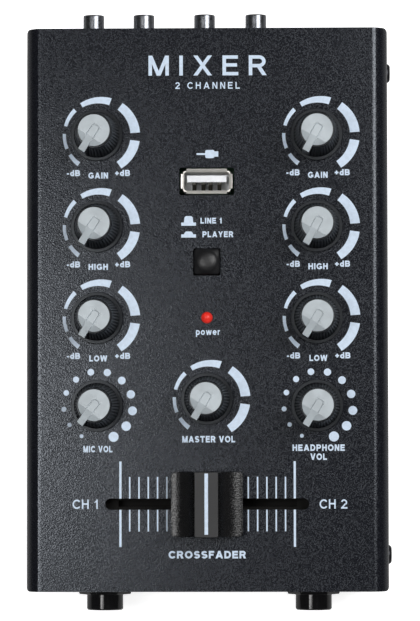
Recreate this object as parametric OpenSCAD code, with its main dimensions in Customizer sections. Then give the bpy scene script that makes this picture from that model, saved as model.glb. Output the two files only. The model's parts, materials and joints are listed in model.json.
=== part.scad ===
// Two-channel desktop DJ mixer. Millimetres; +Z up, +Y towards the rear sockets,
// origin on the table at the middle of the footprint.

/* [Case] */
// Width across the side walls of the cover
body_w = 101; // [99:1:110]
// Length from the front edge to the rear edge
body_l = 157; // [156:1:170]
// Height of the case without its feet
body_h = 42; // [42:1:48]
// Thickness of the sheet steel
sheet_t = 1.2; // [1:0.1:1.5]
// Outer radius of every bend in the sheet
bend_r = 3; // [2.5:0.5:4]
// Height of the rubber feet
foot_h = 3; // [2:0.5:5]
// Diameter of a rubber foot
foot_d = 10; // [8:1:14]

/* [Knobs] */
// Distance between the left and right columns of knobs
column_gap = 61.2; // [58:0.2:64]
// Distance between the tone rows
row_gap = 25.5; // [24:0.5:26]
// Height of a knob from its skirt to its cap
knob_h = 15.2; // [14:0.2:18]
// Diameter of the knob's skirt
skirt_d = 14.8; // [14:0.2:17]
// Diameter of the coloured cap on a knob
cap_d = 8.7; // [8:0.1:9.4]
// Width of the pointer bar
pointer_w = 1.7; // [1.2:0.1:2]

/* [Crossfader] */
// Width of the fader's cap across the direction of travel
fader_cap_w = 18; // [14:1:20]
// Length of the fader's cap along the direction of travel
fader_cap_l = 20; // [16:1:24]
// Height of the fader's cap
fader_cap_h = 11; // [9:0.5:14]
// Travel of the fader from end to end
fader_travel = 45; // [30:1:45]

/* [Button and lamp] */
// Width of the push button
button_w = 7.1; // [6:0.1:8]
// Height of the raised button above the panel
button_rise = 3.1; // [2.8:0.1:5]
// Diameter of the power lamp
led_d = 3; // [3:0.5:5]

/* [Sockets] */
// Height of the socket axes above the table
socket_z = 20; // [19:0.5:20]
// Distance that the line sockets stand out past the panel's rear edge
line_reach = 6.8; // [5:0.1:8]
// Distance that the 6.35 mm sockets stand out past the panel's front edge
phone_reach = 6.1; // [5:0.1:8]
// Outer diameter of a line socket's threaded sleeve
line_sleeve_d = 6; // [5.8:0.1:7]
// Bore of a 3.5 mm line socket
line_bore_d = 3.6; // [3.5:0.05:3.7]
// Outer diameter of a 6.35 mm socket's nose
phone_nose_d = 10.3; // [10:0.1:12]
// Bore of a 6.35 mm socket
phone_bore_d = 6.4; // [6.35:0.05:6.5]
// Distance of each 6.35 mm socket from the middle
phone_x = 29.7; // [26:0.1:32]

/* [Hidden] */
$fn = 48;
eps = 1;               // how far a cutter passes a face
slack = 0.15;          // gap between neighbouring fixed pieces
run = 0.05;            // radial gap of a running fit

// levels
panel_z = foot_h + body_h;
panel_under = panel_z - sheet_t;
floor_z = foot_h + sheet_t;
wall_y = body_l / 2 - 0.3;          // outer face of the chassis's front and rear walls
wall_in = wall_y - sheet_t;
chassis_w = body_w - 2 * sheet_t - 2 * slack;
board_t = 1.6;
main_board = [94, 150];
main_board_z = panel_z - 14;        // upper face of the main board
rear_board = [88, 24];
rear_board_y = 64;
rear_board_z = socket_z - 6;
front_board = [88, 28];
front_board_y = -62;
front_board_z = socket_z - 8.4;

// rotary controls: name, X, Y, pointer's resting angle clockwise from the front
column_x = column_gap / 2;
gain_y = 48.5;
low_row_y = -26.9;
master_y = -25;
CONTROLS = [
  ["gain_1", -column_x, gain_y, 33],
  ["high_1", -column_x, gain_y - row_gap, 33],
  ["low_1", -column_x, gain_y - 2 * row_gap, 33],
  ["mic", -column_x, low_row_y, 38],
  ["master", 0, master_y, 31],
  ["gain_2", column_x, gain_y, 29],
  ["high_2", column_x, gain_y - row_gap, 29],
  ["low_2", column_x, gain_y - 2 * row_gap, 32],
  ["headphone", column_x, low_row_y, 31],
];
CONTROL_PIECES = ["pot", "shaft", "knob", "cap"];
pot_body = [10, 11, 6.8];
bushing_d = 7;
bushing_top = panel_under - 1;
shaft_d = 6;
shaft_top = panel_z + 12;
knob_z = panel_z + 0.8;
cap_t = 1.2;
knob_body_h = knob_h - cap_t;
flute_r = 6.05;                     // widest radius of the grip above its flare
grip_top_r = cap_d / 2 + 0.45;
flare_r = 1.6;
facet_start = 2.05;                 // where the cap's facet begins
facet_angle = 27;
pointer_reach = 6.5;                // from the axis to the pointer's tip
pointer_tip_z = knob_h - 1.75;
pointer_t = 1;

// crossfader
fader_y = -54.2;
slot_l = 56.7;
slot_w = 3.1;
slot_end_r = 1.5;                   // the slot's ends are all but round
fader_body = [62, 9.4, 7.5];
lever_w = 4;
lever_t = 1.2;
carriage = [6, 5.6, 2.6];
carriage_z = 2.7;                   // height of the carriage above the main board
ridge_w = 6.6;
shelf_x = 6.7;                      // where the flat ends of the cap turn up into the scoops
shelf_z = 4.6;                      // height of the flat ends
lever_seat = 7;                     // depth of the lever's seat in the cap
fader_cap_z = panel_z + 1;

// push button, its switch and the lamp
button_y = 13.1;
button_travel = 2.5;
switch_size = [8.5, 8.5, 5.5];
switch_floor = 1;
plunger_w = 3;
led_y = -2.4;

// USB socket standing on the main board
usb_y = 35.6;
usb_in = [12.5, 5.12];
usb_t = 0.35;
usb_tongue = [11.1, 1.9];
usb_flare = [14.9, 7.1];
usb_top = panel_z + 0.3;
usb_cutout = [15.3, 7.7];

// rear and front sockets
LINE_X = [-32.9, -18.5, -1.1, 13.6];
sleeve_inner_y = wall_in;           // the sleeve's shoulder, behind the wall
line_housing = [11.6, 12, 10];
line_shoulder_d = 8;
phone_housing = [16, 24, 16.8];
phone_bore_l = 30;
nut_w = 15;
nut_t = 2;
dc_x = 36;
dc_housing = [9, 13, 11];
dc_nose_d = 6.3;
dc_bore_d = 5.5;
dc_pin_d = 2.1;

// screws, pillars and feet
side_screw_y = 69.3;
side_screw_z = 12;
screw_head_d = 5.5;
screw_head_h = 1.7;
side_tab = [16, 14];                 // length and height of the chassis's tabs behind the side screws
m3_r = 1.5;
pillar_af = 5.5;                    // across the flats
MAIN_SCREWS = [for (x = [-43, 43]) for (y = [-68, 4, 68]) [x, y]];
REAR_SCREWS = [[-38, 56], [28, 56]];
FRONT_SCREWS = [[-12, -62], [12, -62]];
foot_x = 38;
foot_y = 64;
RIBBONS = [[-10, 56, rear_board_z], [0, -52, front_board_z]];   // X, Y and lower end of each cable

// ---- shared shapes ----

// a rectangle standing on the X axis with both top corners rounded
module rounded_top(w, h, r) {
  translate([-w / 2, 0]) square([w, h - r]);
  translate([-w / 2 + r, 0]) square([w - 2 * r, h]);
  for (s = [-1, 1])
    translate([s * (w / 2 - r), h - r]) circle(r);
}

// a centred rectangle with four rounded corners
module rounded_rect(w, l, r) {
  square([w - 2 * r, l], center = true);
  square([w, l - 2 * r], center = true);
  for (x = [-1, 1])
    for (y = [-1, 1])
      translate([x * (w / 2 - r), y * (l / 2 - r)]) circle(r);
}

// sheet folded into an inverted U that runs along Y and stands on z = 0
module folded_sheet(w, l, h) {
  rotate([90, 0, 0])
    linear_extrude(l, center = true)
      difference() {
        rounded_top(w, h, bend_r);
        translate([0, -eps]) rounded_top(w - 2 * sheet_t, h - sheet_t + eps, bend_r - sheet_t);
      }
}

// a cube centred in X and Y that stands on z = 0
module block(size) {
  translate([-size[0] / 2, -size[1] / 2, 0]) cube(size);
}

// a cylinder along Y, from y0 to y1, at a socket's height
module along_y(d, y0, y1) {
  translate([0, y1, socket_z]) rotate([90, 0, 0]) cylinder(d = d, h = y1 - y0);
}

// a pan-head screw: head on z = 0 upwards, shank downwards
module screw(head_d, head_h, shank_l) {
  cylinder(d = head_d, h = head_h);
  translate([0, 0, -shank_l]) cylinder(r = m3_r - run, h = shank_l);
}

// ---- case ----

module top_cover() {
  color("#34353a") difference() {
    translate([0, 0, foot_h]) folded_sheet(body_w, body_l, body_h);
    for (c = CONTROLS)
      translate([c[1], c[2], panel_under - eps]) cylinder(d = bushing_d + 0.2, h = sheet_t + 2 * eps);
    translate([0, usb_y, panel_under - eps]) block([usb_cutout[0], usb_cutout[1], sheet_t + 2 * eps]);
    translate([0, button_y, panel_under - eps]) block([button_w + 0.5, button_w + 0.5, sheet_t + 2 * eps]);
    translate([0, led_y, panel_under - eps]) cylinder(d = led_d + 0.2, h = sheet_t + 2 * eps);
    translate([0, fader_y, panel_under - eps])
      linear_extrude(sheet_t + 2 * eps) rounded_rect(slot_l, slot_w, slot_end_r);
    for (y = [-1, 1])
      translate([0, y * side_screw_y, side_screw_z])
        rotate([0, 90, 0]) cylinder(r = m3_r + run, h = body_w + 2 * eps, center = true);
  }
}

module bottom_chassis() {
  chassis_h = body_h - sheet_t - slack;
  color("#2e2f33") difference() {
    union() {
      intersection() {
        translate([0, 0, foot_h + chassis_h])
          rotate([180, 0, 90]) folded_sheet(2 * wall_y, chassis_w, chassis_h);
        translate([0, 0, foot_h]) rotate([90, 0, 0])
          linear_extrude(body_l, center = true) rounded_top(chassis_w, chassis_h, bend_r - sheet_t + slack);
      }
      for (x = [-1, 1])
        for (y = [-1, 1])
          translate([x * (chassis_w - sheet_t) / 2, y * side_screw_y, foot_h])
            block([sheet_t, side_tab[0], side_tab[1]]);
    }
    for (y = [-1, 1])
      translate([0, y * side_screw_y, side_screw_z])
        rotate([0, 90, 0]) cylinder(r = m3_r, h = body_w, center = true);
    for (x = LINE_X)
      translate([x, 0, 0]) along_y(line_sleeve_d + 0.2, wall_in - eps, wall_y + eps);
    translate([dc_x, 0, 0]) along_y(dc_nose_d + 0.1, wall_in - eps, wall_y + eps);
    for (x = [-phone_x, phone_x])
      translate([x, 0, 0]) along_y(phone_nose_d + 0.3, -wall_y - eps, -wall_in + eps);
    for (x = [-foot_x, foot_x])
      for (y = [-foot_y, foot_y])
        translate([x, y, foot_h - eps]) cylinder(d = 4, h = sheet_t + 2 * eps);
  }
}

module side_screws() {
  color("#3a3b40")
    for (side = [-1, 1])
      for (y = [-1, 1])
        translate([side * body_w / 2, y * side_screw_y, side_screw_z])
          rotate([0, side * 90, 0]) difference() {
            screw(screw_head_d, screw_head_h, 6);
            for (a = [0, 90])
              rotate([0, 0, a]) translate([0, 0, screw_head_h - 1]) block([3, 0.7, 1 + eps]);
          }
}

module rubber_feet() {
  color("#1c1c1e")
    for (x = [-foot_x, foot_x])
      for (y = [-foot_y, foot_y])
        translate([x, y, 0]) {
          cylinder(d1 = foot_d - 1, d2 = foot_d, h = foot_h);
          cylinder(d = 3.8, h = foot_h + sheet_t);
        }
}

// ---- boards and what holds them ----

module board(size, y, top, screws) {
  color("#1f6b3a") difference() {
    translate([0, y, top - board_t]) block([size[0], size[1], board_t]);
    for (s = screws)
      translate([s[0], s[1], top - board_t - eps]) cylinder(r = m3_r + 0.1, h = board_t + 2 * eps);
  }
}

module main_board() {
  board(main_board, 0, main_board_z, MAIN_SCREWS);
}

module rear_board() {
  board(rear_board, rear_board_y, rear_board_z, REAR_SCREWS);
}

module front_board() {
  board(front_board, front_board_y, front_board_z, FRONT_SCREWS);
}

// a hexagonal pillar with a tapped hole right through
module pillar(h) {
  difference() {
    cylinder(d = pillar_af / cos(30), h = h, $fn = 6);
    translate([0, 0, -eps]) cylinder(r = m3_r, h = h + 2 * eps);
  }
}

module board_pillars() {
  color("#b9a35c") {
    for (s = MAIN_SCREWS)
      translate([s[0], s[1], main_board_z]) pillar(panel_under - main_board_z);
    for (s = REAR_SCREWS)
      translate([s[0], s[1], floor_z]) pillar(rear_board_z - board_t - floor_z);
    for (s = FRONT_SCREWS)
      translate([s[0], s[1], floor_z]) pillar(front_board_z - board_t - floor_z);
  }
}

module board_screw() {
  screw(5.5, 1.8, 5);
}

module board_screws() {
  color("#c8c9cc") {
    for (s = MAIN_SCREWS)
      translate([s[0], s[1], main_board_z - board_t]) rotate([180, 0, 0]) board_screw();
    for (s = REAR_SCREWS)
      translate([s[0], s[1], rear_board_z]) board_screw();
    for (s = FRONT_SCREWS)
      translate([s[0], s[1], front_board_z]) board_screw();
  }
}

// flat cables with a connector at each end, from the socket boards up to the main board
module ribbon_cables() {
  connector = [18, 3, 3.5];
  color("#9aa0a6")
    for (r = RIBBONS) {
      length = main_board_z - board_t - r[2];
      translate(r) {
        block([16, 0.9, length]);
        block(connector);
        translate([0, 0, length - connector[2]]) block(connector);
      }
    }
}

// ---- rotary controls ----

module at_control(c, z) {
  translate([c[1], c[2], z]) rotate([0, 0, -c[3]]) children();
}

module pot(c) {
  color("#4d5358") at_control(c, main_board_z) difference() {
    union() {
      rotate([0, 0, c[3]]) block(pot_body);
      cylinder(d = bushing_d, h = bushing_top - main_board_z);
    }
    translate([0, 0, 1]) cylinder(d = shaft_d + 2 * run, h = panel_z);
  }
}

module shaft(c) {
  foot = main_board_z + 1.1;
  color("#c4c6c9") at_control(c, foot) difference() {
    cylinder(d = shaft_d, h = shaft_top - foot);
    translate([0, 0, shaft_top - foot - 7]) block([1, shaft_d + 2, 7 + eps]);
  }
}

// a side view (distance from the axis, height) turned to face the front and given a width
module facing_front(w) {
  rotate([90, 0, -90]) linear_extrude(w, center = true) children();
}

// the pointer bar: it slopes from the cap's facet out over the fin; grow makes it a cutter
module pointer_bar(w, grow) {
  facing_front(w)
    polygon([
      [facet_start, knob_h + grow],
      [pointer_reach + grow, pointer_tip_z + grow],
      [pointer_reach + grow, pointer_tip_z - pointer_t - grow],
      [grip_top_r - 0.75 - grow, knob_body_h - pointer_t - grow],
      [grip_top_r - 0.75 - grow, knob_body_h],
      [facet_start, knob_body_h],
    ]);
}

module knob(c) {
  flare = [
    for (a = [261 : -9 : 180])
      [flute_r + flare_r + flare_r * cos(a), 2.4 + flare_r * sin(a)]
  ];
  color("#141416") at_control(c, knob_z) difference() {
    union() {
      rotate_extrude() polygon(concat(
        [[4.2, 0], [4.2, 7], [4.8, 7], [5.4, 0], [skirt_d / 2, 0]],
        flare,
        [[grip_top_r, knob_body_h], [1.6, knob_body_h], [1.6, 11.9], [0, 11.9], [0, 11.4]],
        [[shaft_d / 2 + 0.02, 11.4], [shaft_d / 2 + 0.02, 0]]
      ));
      facing_front(pointer_w)
        polygon([
          [5.6, 1.5],
          [pointer_reach, 1.5],
          [pointer_reach, pointer_tip_z - 0.5],
          [grip_top_r, knob_body_h - 0.6],
        ]);
    }
    pointer_bar(pointer_w + 0.04, 0.02);
  }
}

module knob_cap(c) {
  color("#adb5bb") at_control(c, knob_z) {
    difference() {
      union() {
        translate([0, 0, knob_body_h]) cylinder(d = cap_d, h = cap_t);
        translate([0, 0, knob_body_h - 1.9]) cylinder(r = 1.58, h = 2);
      }
      translate([0, -facet_start, knob_h])
        rotate([facet_angle, 0, 0]) translate([0, -6, 0]) block([12, 12, 4]);
    }
    pointer_bar(pointer_w, 0);
  }
}

// ---- crossfader ----

module fader_body() {
  channel = [fader_travel + carriage[0] + 2, carriage[1] + 0.4, carriage[2] + 0.8];
  color("#6f747a") translate([0, fader_y, main_board_z]) difference() {
    block(fader_body);
    translate([0, 0, 2.4]) block(channel);
    translate([0, 0, 3]) block([fader_travel + lever_w + 1, lever_t + 0.6, fader_body[2]]);
  }
}

module fader_lever() {
  color("#b8bbbf") translate([0, fader_y, main_board_z + carriage_z]) {
    block(carriage);
    block([lever_w, lever_t, fader_cap_z + lever_seat - main_board_z - carriage_z]);
  }
}

module fader_cap() {
  side = concat(
    [[fader_cap_l / 2, 0], [fader_cap_l / 2, shelf_z]],
    [
      for (a = [0 : 9 : 90])
        [shelf_x - (shelf_x - ridge_w / 2) * sin(a), shelf_z + (fader_cap_h - shelf_z) * (1 - cos(a))]
    ]
  );
  other_side = [for (i = [len(side) - 1 : -1 : 0]) [-side[i][0], side[i][1]]];
  color("#26272a") translate([0, fader_y, fader_cap_z]) difference() {
    intersection() {
      rotate([90, 0, 0]) linear_extrude(fader_cap_w, center = true) polygon(concat(side, other_side));
      linear_extrude(fader_cap_h) rounded_rect(fader_cap_l, fader_cap_w, 0.9);
    }
    translate([0, 0, -eps]) block([lever_w + 0.04, lever_t + 0.04, lever_seat + eps]);
    for (s = [-1, 1])
      translate([s * 5.8, 0, -eps]) block([5, fader_cap_w - 3, 2.5 + eps]);
  }
}

// ---- push button and lamp ----

module button_cap() {
  skirt_z = main_board_z + switch_size[2] + button_travel + 0.3;
  plunger_z = main_board_z + switch_floor + button_travel + 0.5;
  color("#0f0f11") translate([0, button_y, 0]) {
    translate([0, 0, skirt_z])
      linear_extrude(panel_z + button_rise - skirt_z) rounded_rect(button_w, button_w, 0.8);
    translate([0, 0, plunger_z]) block([plunger_w, plunger_w, skirt_z - plunger_z]);
  }
}

module button_switch() {
  color("#2b2d30") translate([0, button_y, main_board_z]) difference() {
    block(switch_size);
    translate([0, 0, switch_floor]) block([plunger_w + 0.3, plunger_w + 0.3, switch_size[2]]);
  }
}

module power_led() {
  shoulder_z = panel_under - 1.6;
  color("#e03c33") translate([0, led_y, 0]) {
    translate([0, 0, shoulder_z]) cylinder(d = led_d, h = panel_z + 0.2 - shoulder_z);
    translate([0, 0, shoulder_z]) cylinder(d = led_d + 0.8, h = 1);
    intersection() {
      translate([0, 0, panel_z + 0.2]) sphere(d = led_d);
      translate([0, 0, panel_z + 0.1]) cylinder(d = led_d + 1, h = led_d);
    }
    for (s = [-1, 1])
      translate([s * 0.9, 0, main_board_z]) block([0.5, 0.5, shoulder_z - main_board_z + 0.5]);
  }
}

// ---- USB socket ----

module usb_shell() {
  outer = [usb_in[0] + 2 * usb_t, usb_in[1] + 2 * usb_t];
  color("#c9cbce") translate([0, usb_y, 0]) {
    translate([0, 0, main_board_z]) difference() {
      block([outer[0], outer[1], usb_top - main_board_z - usb_t]);
      translate([0, 0, usb_t]) block([usb_in[0], usb_in[1], usb_top]);
    }
    for (s = [-1, 1]) {
      translate([0, s * (usb_flare[1] + outer[1] - 2 * usb_t) / 4, usb_top - usb_t])
        block([11.3, (usb_flare[1] - outer[1]) / 2 + usb_t, usb_t]);
      translate([s * (usb_flare[0] + outer[0] - 2 * usb_t) / 4, 0, usb_top - usb_t])
        block([(usb_flare[0] - outer[0]) / 2 + usb_t, 4.1, usb_t]);
    }
  }
}

module usb_tongue() {
  base_h = 3;
  color("#f2f4f7") translate([0, usb_y, main_board_z + usb_t]) {
    block([usb_in[0] - 0.1, usb_in[1] - 0.1, base_h]);
    translate([0, 0.75, 0]) block([usb_tongue[0], usb_tongue[1], usb_top - main_board_z - 1.6]);
  }
}

// ---- sockets ----

module line_jacks() {
  color("#1b1b1d")
    for (x = LINE_X)
      translate([x, 0, 0]) difference() {
        translate([0, sleeve_inner_y - 1 - line_housing[1] / 2, rear_board_z])
          block(line_housing);
        along_y(line_bore_d, sleeve_inner_y - 9, sleeve_inner_y);
      }
}

module line_sleeves() {
  color("#8b8f96")
    for (x = LINE_X)
      translate([x, 0, 0]) difference() {
        union() {
          along_y(line_sleeve_d, sleeve_inner_y - 1, body_l / 2 + line_reach);
          along_y(line_shoulder_d, sleeve_inner_y - 1, sleeve_inner_y);
        }
        along_y(line_bore_d, sleeve_inner_y - 2, body_l / 2 + line_reach + eps);
      }
}

module phone_jack(x) {
  mouth_y = -body_l / 2 - phone_reach;
  color("#161618") translate([x, 0, 0]) difference() {
    union() {
      translate([0, -wall_in + phone_housing[1] / 2, front_board_z])
        block(phone_housing);
      along_y(phone_nose_d, mouth_y, -wall_in + 1);
    }
    along_y(phone_bore_d, mouth_y - eps, mouth_y + phone_bore_l);
  }
}

module mic_jack() {
  phone_jack(-phone_x);
}

module headphone_jack() {
  phone_jack(phone_x);
}

module jack_nuts() {
  color("#1a1a1c")
    for (x = [-phone_x, phone_x])
      translate([x, -wall_y, socket_z]) rotate([90, 0, 0]) difference() {
        cylinder(d = nut_w, h = nut_t, $fn = 6);
        translate([0, 0, -eps]) cylinder(d = phone_nose_d + 0.1, h = nut_t + 2 * eps);
      }
}

module dc_jack() {
  color("#18181a") translate([dc_x, 0, 0]) {
    difference() {
      union() {
        translate([0, wall_in - dc_housing[1] / 2, rear_board_z])
          block(dc_housing);
        along_y(dc_nose_d, wall_in - 1, wall_y);
      }
      along_y(dc_bore_d, wall_in - 9, wall_y + eps);
    }
    along_y(dc_pin_d, wall_in - 10, wall_y - 1);
  }
}

// ---- what is drawn ----

top_cover();
bottom_chassis();
side_screws();
rubber_feet();
main_board();
rear_board();
front_board();
board_pillars();
board_screws();
ribbon_cables();
fader_body();
fader_lever();
fader_cap();
button_cap();
button_switch();
power_led();
usb_shell();
usb_tongue();
line_jacks();
line_sleeves();
mic_jack();
headphone_jack();
jack_nuts();
dc_jack();
for (c = CONTROLS) {
  pot(c);
  shaft(c);
  knob(c);
  knob_cap(c);
}
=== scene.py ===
"""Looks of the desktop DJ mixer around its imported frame. Helper functions take millimetres."""
import json
import math

import bmesh
import bpy
from mathutils import Matrix, Vector


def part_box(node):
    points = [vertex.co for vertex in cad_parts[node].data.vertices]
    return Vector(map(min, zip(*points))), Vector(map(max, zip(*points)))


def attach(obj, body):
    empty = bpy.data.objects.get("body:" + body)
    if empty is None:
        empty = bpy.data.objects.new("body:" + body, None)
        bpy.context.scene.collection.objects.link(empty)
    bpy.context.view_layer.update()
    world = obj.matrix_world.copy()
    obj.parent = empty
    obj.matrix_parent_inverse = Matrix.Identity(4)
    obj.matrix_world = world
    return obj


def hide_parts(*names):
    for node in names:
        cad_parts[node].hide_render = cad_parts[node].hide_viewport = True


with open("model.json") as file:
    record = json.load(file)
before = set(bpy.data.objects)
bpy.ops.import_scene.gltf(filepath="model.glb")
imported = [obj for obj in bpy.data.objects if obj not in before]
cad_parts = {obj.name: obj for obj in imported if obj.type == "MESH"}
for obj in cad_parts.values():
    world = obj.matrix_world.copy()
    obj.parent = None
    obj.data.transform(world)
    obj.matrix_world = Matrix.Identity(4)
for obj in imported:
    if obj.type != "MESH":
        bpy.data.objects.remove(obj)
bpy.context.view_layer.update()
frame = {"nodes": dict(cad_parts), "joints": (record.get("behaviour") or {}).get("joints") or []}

MM = 0.001
scene = bpy.context.scene


# ---- the frame's dimensions, in millimetres ----

def box_mm(node):
    """Lowest and highest corner of a CAD node."""
    low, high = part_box(node)
    return low / MM, high / MM


def centre_mm(node):
    low, high = box_mm(node)
    return (low + high) / 2


COVER_LOW, COVER_HIGH = box_mm("top_cover")
PANEL_Z = COVER_HIGH.z
BODY_W = COVER_HIGH.x - COVER_LOW.x
BODY_L = COVER_HIGH.y - COVER_LOW.y
SHEET_T = 1.2
BEND_R = 3.0
CONTROLS = {j["child"]: Vector(j["pos_m"]) / MM for j in frame["joints"] if j["type"] == "hinge"}
REST_ANGLE = {"gain_1": 33, "high_1": 33, "low_1": 33, "mic": 38, "master": 31,
              "gain_2": 29, "high_2": 29, "low_2": 32, "headphone": 31}
PRINT_SHIFT = Vector((0.35, 0.0))      # the print sits a little to the right of the holes


# ---- mesh helpers ----

def mesh_object(name, verts, faces):
    """An object from points in millimetres."""
    mesh = bpy.data.meshes.new(name)
    mesh.from_pydata([tuple(c * MM for c in v) for v in verts], [], faces)
    mesh.validate()
    bm = bmesh.new()
    bm.from_mesh(mesh)
    bmesh.ops.recalc_face_normals(bm, faces=bm.faces)
    bm.to_mesh(mesh)
    bm.free()
    obj = bpy.data.objects.new(name, mesh)
    scene.collection.objects.link(obj)
    return obj


def apply_modifiers(obj):
    """Bakes an object's modifiers into its mesh."""
    evaluated = obj.evaluated_get(bpy.context.evaluated_depsgraph_get())
    mesh = bpy.data.meshes.new_from_object(evaluated)
    obj.modifiers.clear()
    obj.data = mesh
    return obj


def bevel(obj, width, segments=2, angle=40):
    """Rounds the edges that are sharper than angle."""
    m = obj.modifiers.new("bevel", "BEVEL")
    m.width = width * MM
    m.segments = segments
    m.limit_method = "ANGLE"
    m.angle_limit = math.radians(angle)
    m.harden_normals = False
    return apply_modifiers(obj)


def smooth(obj, angle=35):
    """Smooth shading, broken at edges sharper than angle, with large faces kept flat."""
    for face in obj.data.polygons:
        face.use_smooth = True
    obj.data.set_sharp_from_angle(angle=math.radians(angle))
    m = obj.modifiers.new("weights", "WEIGHTED_NORMAL")
    m.keep_sharp = True
    return apply_modifiers(obj)


def join(name, parts):
    """One object made of several, which are used up."""
    bm = bmesh.new()
    for part in parts:
        part.data.transform(part.matrix_world)
        bm.from_mesh(part.data)
        bpy.data.objects.remove(part)
    mesh = bpy.data.meshes.new(name)
    bm.to_mesh(mesh)
    bm.free()
    obj = bpy.data.objects.new(name, mesh)
    scene.collection.objects.link(obj)
    return obj


def cut(obj, cutters, operation="DIFFERENCE"):
    """Takes the cutters out of an object, or keeps what they share."""
    tool = join("cutter", cutters)
    m = obj.modifiers.new("cut", "BOOLEAN")
    m.operation = operation
    m.solver = "EXACT"
    m.object = tool
    apply_modifiers(obj)
    bpy.data.objects.remove(tool)
    return obj


def move(obj, x=0.0, y=0.0, z=0.0, turn=None):
    """Moves an object's mesh, after an optional turn given as (degrees, axis)."""
    if turn:
        obj.data.transform(Matrix.Rotation(math.radians(turn[0]), 4, turn[1]))
    obj.data.transform(Matrix.Translation(Vector((x, y, z)) * MM))
    return obj


def raise_outlines(name, outlines, z0, z1, step=0.0, levels=6):
    """Outlines of (x, y) points raised from z0 to z1.

    step gives outlines that may cross slightly different tops, on a few levels.
    """
    verts, faces = [], []
    for k, outline in enumerate(outlines):
        n, first = len(outline), len(verts)
        top = z1 + step * (k % levels)
        verts += [(x, y, z0) for x, y in outline] + [(x, y, top) for x, y in outline]
        faces.append(tuple(range(first + n - 1, first - 1, -1)))
        faces.append(tuple(range(first + n, first + 2 * n)))
        for i in range(n):
            a, b = first + i, first + (i + 1) % n
            faces.append((a, b, b + n, a + n))
    return mesh_object(name, verts, faces)


def prism(name, outline, z0, z1):
    return raise_outlines(name, [outline], z0, z1)


def rectangle(x0, y0, x1, y1):
    """Outline of a rectangle."""
    return [(x0, y0), (x1, y0), (x1, y1), (x0, y1)]


def circle(x, y, r, steps=48):
    """Outline of a circle, or of a regular polygon."""
    angles = [2 * math.pi * i / steps for i in range(steps)]
    return [(x + r * math.cos(a), y + r * math.sin(a)) for a in angles]


def rounded_rect(w, l, r, steps=6, x=0.0, y=0.0):
    """Outline of a rectangle with rounded corners."""
    points = []
    for k, (sx, sy) in enumerate(((1, 1), (-1, 1), (-1, -1), (1, -1))):
        cx, cy = x + sx * (w / 2 - r), y + sy * (l / 2 - r)
        for i in range(steps + 1):
            a = math.radians(90 * (k + i / steps))
            points.append((cx + r * math.cos(a), cy + r * math.sin(a)))
    return points


def block(name, size, centre):
    """A box given its size and centre."""
    w, l, h = size
    x, y, z = centre
    outline = rectangle(x - w / 2, y - l / 2, x + w / 2, y + l / 2)
    return prism(name, outline, z - h / 2, z + h / 2)


def cylinder(name, x, y, z0, z1, r, steps=48):
    return prism(name, circle(x, y, r, steps), z0, z1)


def loft(name, rings, cap_start=True, cap_end=True):
    """Joins rings of equally many 3-D points."""
    n = len(rings[0])
    verts = [p for ring in rings for p in ring]
    faces = []
    for k in range(len(rings) - 1):
        a, b = k * n, (k + 1) * n
        faces += [(a + i, a + (i + 1) % n, b + (i + 1) % n, b + i) for i in range(n)]
    if cap_start:
        faces.append(tuple(range(n - 1, -1, -1)))
    if cap_end:
        faces.append(tuple(range((len(rings) - 1) * n, len(rings) * n)))
    return mesh_object(name, verts, faces)


def lathe(name, profile, steps=64, closed=False, radius=None):
    """Turns a profile of (radius, height) points about Z.

    A closed profile makes a ring. radius(r, z, angle) may shape the surface further.
    """
    radius = radius or (lambda r, z, a: r)
    verts, rows = [], []
    for r, z in profile:
        if r == 0:
            rows.append([len(verts)])
            verts.append((0, 0, z))
            continue
        rows.append(list(range(len(verts), len(verts) + steps)))
        for i in range(steps):
            a = 2 * math.pi * i / steps
            q = radius(r, z, a)
            verts.append((q * math.cos(a), q * math.sin(a), z))
    faces = []
    pairs = list(zip(rows, rows[1:])) + ([(rows[-1], rows[0])] if closed else [])
    for a, b in pairs:
        for i in range(steps):
            j = (i + 1) % steps
            if len(a) == 1:
                faces.append((a[0], b[j], b[i]))
            elif len(b) == 1:
                faces.append((a[i], a[j], b[0]))
            else:
                faces.append((a[i], a[j], b[j], b[i]))
    return mesh_object(name, verts, faces)


def arc(cx, cy, r, start, end, steps=8):
    """Points along a circle, with angles in degrees."""
    angles = [math.radians(start + (end - start) * i / steps) for i in range(steps + 1)]
    return [(cx + r * math.cos(a), cy + r * math.sin(a)) for a in angles]


def place(obj, material, body, stands_for=()):
    """Gives a piece its material and its body, and hides the CAD nodes that it stands for."""
    obj.data.materials.clear()
    obj.data.materials.append(material)
    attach(obj, body)
    if stands_for:
        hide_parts(*stands_for)
    return obj


def paint(obj, material, test):
    """Gives the faces that pass a test another material."""
    obj.data.materials.append(material)
    index = len(obj.data.materials) - 1
    for face in obj.data.polygons:
        if test(face):
            face.material_index = index
    return obj


# ---- material helpers ----

def principled(name, colour, roughness, metallic=0.0, **inputs):
    """A Principled material with values set on the shader's own sockets."""
    mat = bpy.data.materials.new(name)
    mat.use_nodes = True
    shader = mat.node_tree.nodes["Principled BSDF"]
    shader.inputs["Base Color"].default_value = (*colour, 1)
    shader.inputs["Roughness"].default_value = roughness
    shader.inputs["Metallic"].default_value = metallic
    for key, value in inputs.items():
        shader.inputs[key.replace("_", " ")].default_value = value
    return mat


def texture(mat, kind, scale, **values):
    """A texture node on object coordinates. scale is in features per metre."""
    nodes, links = mat.node_tree.nodes, mat.node_tree.links
    coords = nodes.get("coords") or nodes.new("ShaderNodeTexCoord")
    coords.name = "coords"
    tex = nodes.new(kind)
    tex.inputs["Scale"].default_value = scale
    for key, value in values.items():
        socket = tex.inputs.get(key)
        if socket is None:
            setattr(tex, key, value)
        else:
            socket.default_value = value
    links.new(coords.outputs["Object"], tex.inputs["Vector"])
    return tex


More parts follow.
